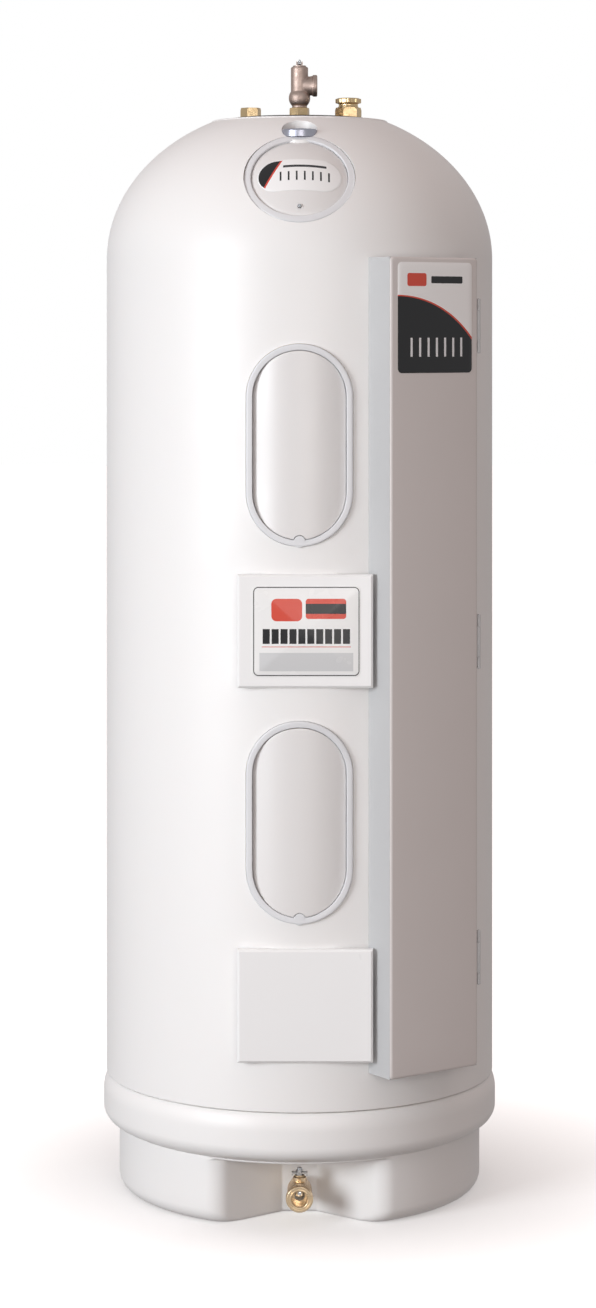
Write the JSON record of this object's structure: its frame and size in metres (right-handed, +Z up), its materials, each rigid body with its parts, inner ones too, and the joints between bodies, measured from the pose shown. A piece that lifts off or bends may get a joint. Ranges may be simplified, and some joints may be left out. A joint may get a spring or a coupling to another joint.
{
  "type": "tank water heater",
  "caption": "Floor-standing electric tank water heater with moulded domed jacket, oval access covers, side control box, relief valve and drain valve.",
  "frame": {"origin": "on the floor, at the foot of the tank's vertical axis", "axes": "+Z up along the tank's axis, -Y out of the front, +X to the viewer's right"},
  "size_m": [0.6999, 0.7263, 2.01],
  "materials": {
    "jacket_white": "fine orange-peel, semi-matt",
    "trim_grey": "smooth satin",
    "box_enamel": "satin powder coat",
    "gasket_black": "matt",
    "foam": "closed-cell foam",
    "wound_glass": "wound glass fibre in resin",
    "liner": "smooth natural plastic",
    "brass": "machined",
    "bronze": "cast",
    "steel": "plated",
    "chrome_ball": "polished",
    "seat_white": "smooth",
    "device_black": "moulded",
    "dial_white": "moulded",
    "reset_red": "moulded",
    "wire_insulation": "extruded",
    "plate_white": "gloss enamel",
    "label_print": "printed film"
  },
  "bodies": {
    "heater": {"base_bowl": "jacket_white", "jacket_shell": "jacket_white", "top_rim": "jacket_white", "top_gasket": "gasket_black", "foam_insulation": "foam", "tank_overwrap": "wound_glass", "tank_liner": "liner", "cold_inlet": "brass", "dip_tube": "liner", "hot_outlet": "brass", "outlet_union": "brass", "relief_spud": "brass", "relief_body": "bronze", "relief_bonnet": "bronze", "relief_probe": "steel", "relief_spring": "steel", "relief_lever_pin": "steel", "drain_tube": "brass", "drain_valve_body": "brass", "drain_valve_end": "brass", "drain_seats": "seat_white", "drain_gland_nut": "steel", "control_box": "box_enamel", "door_hinges": "steel", "component_panel": "steel", "contactors": "device_black", "terminal_block": "device_black", "fuse_block": "device_black", "ground_lug": "brass", "box_wiring": "wire_insulation", "supply_conduit": "steel", "junction_cup": "steel", "junction_frame": "trim_grey", "conduit_hub": "steel", "upper_frame": "trim_grey", "lower_frame": "trim_grey", "heating_elements": "steel", "element_gaskets": "gasket_black", "thermostats": "device_black", "rating_plate": "plate_white", "rating_label": "label_print", "blank_plate": "plate_white"},
    "relief_lever": {"relief_lever": "steel"},
    "relief_stem": {"relief_stem": "steel"},
    "drain_rotor": {"drain_ball": "chrome_ball", "drain_stem": "steel", "drain_handle": "steel"},
    "door": {"box_door": "box_enamel", "door_gasket": "gasket_black", "door_label": "label_print"},
    "junction_lid": {"junction_cover": "jacket_white", "junction_badge": "label_print", "junction_screw": "steel"},
    "upper_lid": {"upper_cover": "jacket_white", "upper_foam_plug": "foam"},
    "lower_lid": {"lower_cover": "jacket_white", "lower_foam_plug": "foam"},
    "upper_dial": {"upper_dial": "dial_white"},
    "lower_dial": {"lower_dial": "dial_white"},
    "reset_button": {"reset_button": "reset_red"}
  },
  "joints": [
    {"name": "relief_lever_hinge", "type": "hinge", "parent": "heater", "child": "relief_lever", "pos_m": [0, -0.006, 2.003], "axis": [1, 0, 0], "range_deg": [0, 30]},
    {"name": "relief_stem_lift", "type": "slide", "parent": "heater", "child": "relief_stem", "axis": [0, 0, 1], "range_m": [0, 0.0052], "stiffness_N_per_m": 500, "deforming": ["relief_spring"]},
    {"name": "drain_ball_turn", "type": "hinge", "parent": "heater", "child": "drain_rotor", "pos_m": [0, -0.262, 0.05], "axis": [0, 0, 1], "range_deg": [0, 90]},
    {"name": "door_hinge", "type": "hinge", "parent": "heater", "child": "door", "pos_m": [0.30641, -0.26285, 0.958], "axis": [0, 0, 1], "range_deg": [0, 110]},
    {"name": "junction_lid_off", "type": "slide", "parent": "heater", "child": "junction_lid", "axis": [0, -0.8039, 0.5948], "range_m": [0, 0.12]},
    {"name": "upper_lid_off", "type": "slide", "parent": "heater", "child": "upper_lid", "axis": [0, -1, 0], "range_m": [0, 0.12]},
    {"name": "lower_lid_off", "type": "slide", "parent": "heater", "child": "lower_lid", "axis": [0, -1, 0], "range_m": [0, 0.12]},
    {"name": "upper_dial_turn", "type": "hinge", "parent": "heater", "child": "upper_dial", "pos_m": [0, -0.2974, 1.364], "axis": [0, -1, 0], "range_deg": [0, 270]},
    {"name": "lower_dial_turn", "type": "hinge", "parent": "heater", "child": "lower_dial", "pos_m": [0, -0.2974, 0.728], "axis": [0, -1, 0], "range_deg": [0, 270]},
    {"name": "reset_push", "type": "slide", "parent": "heater", "child": "reset_button", "axis": [0, 1, 0], "range_m": [0, 0.002], "stiffness_N_per_m": 400}
  ],
  "couplings": [
    {"joint": "relief_lever_hinge", "follows": "relief_stem_lift", "rad_per_m": 100.7}
  ]
}
